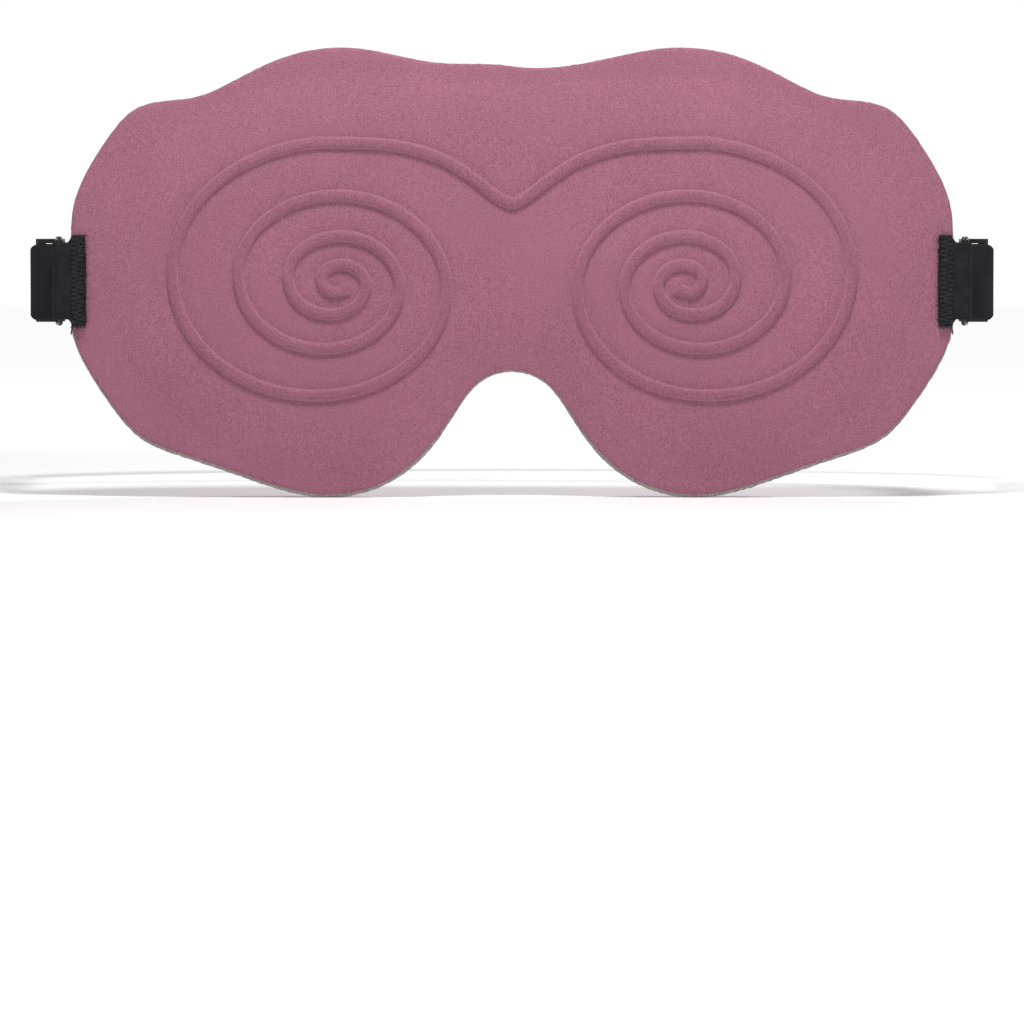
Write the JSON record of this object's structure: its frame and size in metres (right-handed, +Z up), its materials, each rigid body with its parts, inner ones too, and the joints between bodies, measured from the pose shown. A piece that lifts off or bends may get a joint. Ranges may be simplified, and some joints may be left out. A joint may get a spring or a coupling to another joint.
{
  "type": "sleep eye mask",
  "caption": "Contoured sleep eye mask: flat fabric front with a raised double spiral, moulded foam pad with eye cavities, and an adjustable elastic head strap.",
  "frame": {"origin": "in the plane where the pad's crest meets the face, on the middle plane, at the height of the strap", "axes": "+X across the mask, +Y from the outer face towards the wearer's head, +Z up"},
  "size_m": [0.2626, 0.1464, 0.1191],
  "materials": {
    "outer_fabric": "fine matt knit",
    "face_fabric": "fine brushed knit",
    "edge_foam": "cut foam",
    "pad_foam": "moulded foam",
    "blackout_fabric": "matt",
    "tab_webbing": "matt webbing",
    "strap_elastic": "ribbed elastic",
    "thread": "matt thread",
    "ring_wire": "satin black",
    "slider_plastic": "satin"
  },
  "bodies": {
    "mask": {"outer_fabric": "outer_fabric", "front_foam": "edge_foam", "blackout_layer": "blackout_fabric", "back_fabric": "face_fabric", "pad_foam": "pad_foam", "pad_cover": "face_fabric", "left_anchor_tab": "tab_webbing", "left_tab_stitch": "thread", "left_ring": "ring_wire", "left_strap_end": "strap_elastic", "right_anchor_tab": "tab_webbing", "right_tab_stitch": "thread", "right_ring": "ring_wire", "right_strap_end": "strap_elastic"},
    "strap": {"strap_band": "strap_elastic", "left_strap_tail": "strap_elastic", "right_strap_tail": "strap_elastic"},
    "left_adjuster": {"left_slider": "slider_plastic", "left_strap_lap": "strap_elastic", "left_lap_stitch": "thread"},
    "right_adjuster": {"right_slider": "slider_plastic", "right_strap_lap": "strap_elastic", "right_lap_stitch": "thread"}
  },
  "joints": [
    {"name": "strap_swing", "type": "hinge", "parent": "mask", "child": "strap", "pos_m": [0, -0.01373, 0], "axis": [1, 0, 0], "range_deg": [-18, 45]},
    {"name": "left_slider_slide", "type": "slide", "parent": "strap", "child": "left_adjuster", "axis": [0, 1, 0], "range_m": [-0.016, 0.016], "deforming": ["left_strap_tail"]},
    {"name": "right_slider_slide", "type": "slide", "parent": "strap", "child": "right_adjuster", "axis": [0, 1, 0], "range_m": [-0.016, 0.016], "deforming": ["right_strap_tail"]}
  ]
}
